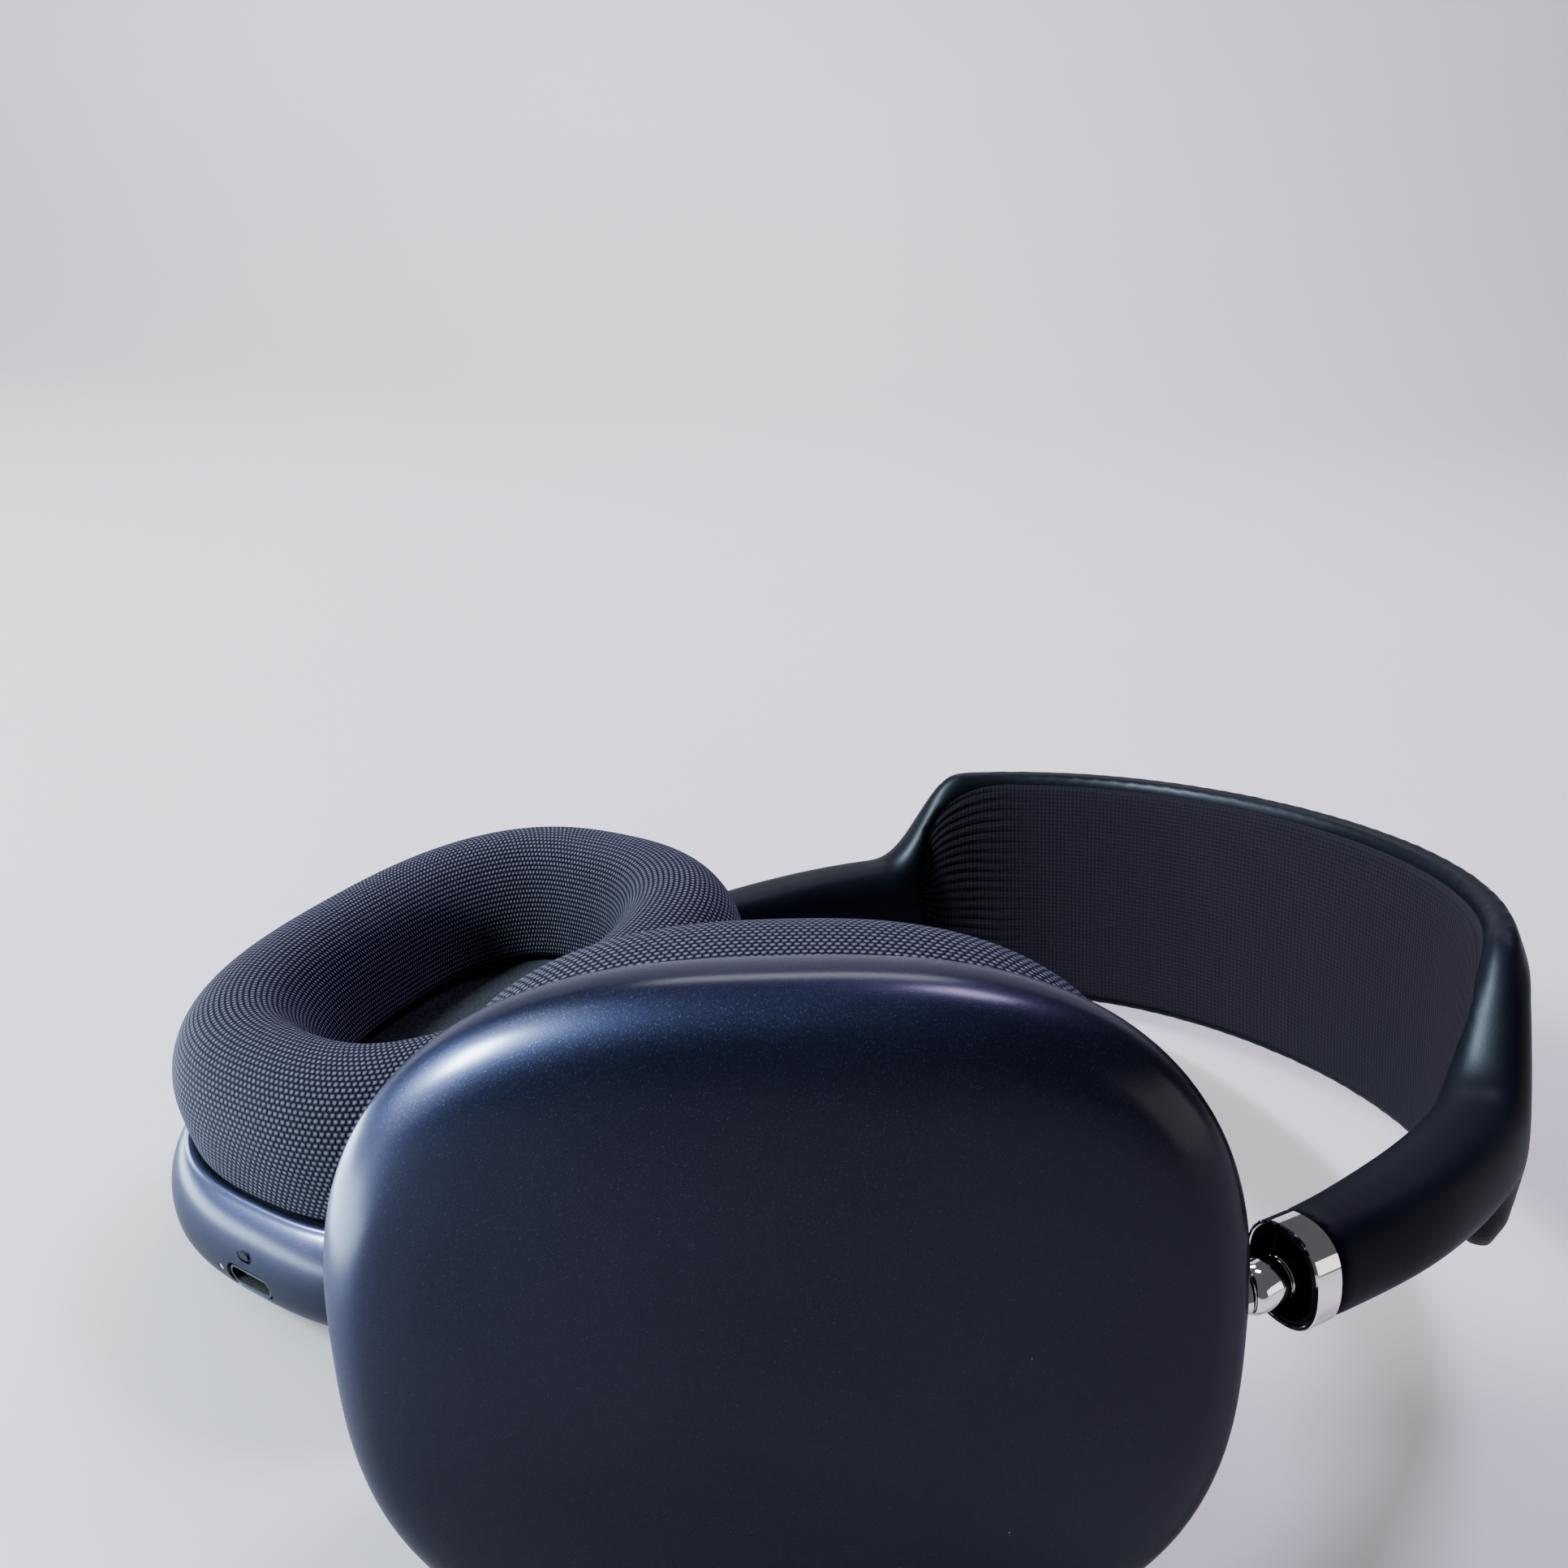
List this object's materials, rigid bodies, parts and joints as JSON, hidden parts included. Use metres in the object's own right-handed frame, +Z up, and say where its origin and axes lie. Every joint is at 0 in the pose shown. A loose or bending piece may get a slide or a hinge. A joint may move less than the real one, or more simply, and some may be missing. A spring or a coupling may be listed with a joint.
{
  "type": "over-ear headphones",
  "caption": "Over-ear headphones with a knit canopy headband, telescoping stems, swivelling and tilting aluminium ear cups and removable knit cushions.",
  "frame": {"origin": "middle of the resting footprint, on the table", "axes": "+Z up; X runs along the near (left) cup's length; the near cup faces -Y; the headband reaches towards +X"},
  "size_m": [0.2008, 0.159, 0.0851],
  "materials": {
    "anodised_aluminium": "satin bead-blasted anodised",
    "soft_touch_sleeve": "matte soft-touch",
    "canopy_knit": "fine open knit",
    "cushion_knit": "knitted mesh",
    "polished_steel": "mirror polished",
    "black_plastic": "fine matte",
    "plain_steel": "plain machined",
    "inner_plastic": "moulded",
    "diaphragm_film": "thin film",
    "circuit_board": "solder mask",
    "battery_wrap": "wrapped cell",
    "lens_plastic": "clear gloss"
  },
  "bodies": {
    "headband": {"headband_frame": "soft_touch_sleeve", "canopy_mesh": "canopy_knit", "end_ring_left": "polished_steel", "arm_end_cap_left": "black_plastic", "stem_guide_left": "inner_plastic", "end_ring_right": "polished_steel", "arm_end_cap_right": "black_plastic", "stem_guide_right": "inner_plastic"},
    "stem_left": {"stem_left": "polished_steel", "stem_stop_left": "inner_plastic"},
    "stem_right": {"stem_right": "polished_steel", "stem_stop_right": "inner_plastic"},
    "yoke_left": {"swivel_yoke_left": "polished_steel"},
    "yoke_right": {"swivel_yoke_right": "polished_steel"},
    "cup_left": {"ear_cup_shell_left": "anodised_aluminium", "hinge_socket_left": "black_plastic", "hinge_pin_left": "plain_steel", "baffle_left": "inner_plastic", "driver_basket_left": "plain_steel", "driver_diaphragm_left": "diaphragm_film", "driver_magnet_left": "plain_steel", "logic_board_left": "circuit_board", "mic_grille_left": "black_plastic"},
    "cup_right": {"ear_cup_shell_right": "anodised_aluminium", "hinge_socket_right": "black_plastic", "hinge_pin_right": "plain_steel", "baffle_right": "inner_plastic", "driver_basket_right": "plain_steel", "driver_diaphragm_right": "diaphragm_film", "driver_magnet_right": "plain_steel", "logic_board_right": "circuit_board", "mic_grille_right": "black_plastic", "battery_cell_front": "battery_wrap", "battery_cell_back": "battery_wrap", "charging_port_shell": "polished_steel", "charging_port_tongue": "black_plastic", "status_lens": "lens_plastic"},
    "cushion_left": {"ear_cushion_left": "cushion_knit", "cushion_carrier_left": "inner_plastic", "speaker_scrim_left": "cushion_knit"},
    "cushion_right": {"ear_cushion_right": "cushion_knit", "cushion_carrier_right": "inner_plastic", "speaker_scrim_right": "cushion_knit"},
    "crown_plunger": {"crown_shaft": "plain_steel"},
    "crown_knob": {"crown_knob": "anodised_aluminium"},
    "noise_button": {"noise_button": "anodised_aluminium"}
  },
  "joints": [
    {"name": "stem_slide_left", "type": "slide", "parent": "headband", "child": "stem_left", "axis": [-0.8694, -0.4938, -0.0149], "range_m": [-0.0042, 0.0122]},
    {"name": "cup_swivel_left", "type": "hinge", "parent": "stem_left", "child": "yoke_left", "pos_m": [0.04468, -0.06252, 0.04653], "axis": [0.9733, 0.2189, 0.069], "range_deg": [-16.2, 87.8]},
    {"name": "cup_tilt_left", "type": "hinge", "parent": "yoke_left", "child": "cup_left", "pos_m": [0.03865, -0.06387, 0.04611], "axis": [0.089, -0.083, -0.9926], "range_deg": [-25.2, 1.8]},
    {"name": "cushion_pull_left", "type": "slide", "parent": "cup_left", "child": "cushion_left", "axis": [-0.0184, 0.9962, -0.085], "range_m": [0, 0.0025]},
    {"name": "stem_slide_right", "type": "slide", "parent": "headband", "child": "stem_right", "axis": [-0.7814, -0.6239, 0.0149], "range_m": [0, 0.0164]},
    {"name": "cup_swivel_right", "type": "hinge", "parent": "stem_right", "child": "yoke_right", "pos_m": [-0.0262, 0.04964, 0.02143], "axis": [-0.5647, -0.8224, 0.069], "range_deg": [-101.3, 2.7]},
    {"name": "cup_tilt_right", "type": "hinge", "parent": "yoke_right", "child": "cup_right", "pos_m": [-0.0297, 0.04454, 0.02186], "axis": [-0.8199, 0.5495, -0.1607], "range_deg": [-4.75, 22.25]},
    {"name": "cushion_pull_right", "type": "slide", "parent": "cup_right", "child": "cushion_right", "axis": [-0.1838, 0.0132, 0.9829], "range_m": [0, 0.004]},
    {"name": "crown_press", "type": "slide", "parent": "cup_right", "child": "crown_plunger", "axis": [-0.7288, -0.6727, -0.1273], "range_m": [0, 0.0005], "stiffness_N_per_m": 2000, "springref_m": -0.001},
    {"name": "crown_turn", "type": "hinge", "parent": "crown_plunger", "child": "crown_knob", "pos_m": [-0.01376, 0.03718, 0.02117], "axis": [0.7288, 0.6727, 0.1273], "continuous": true},
    {"name": "noise_press", "type": "slide", "parent": "cup_right", "child": "noise_button", "axis": [-0.3215, -0.9457, -0.0474], "range_m": [0, 0.0006], "stiffness_N_per_m": 2000, "springref_m": -0.001}
  ]
}
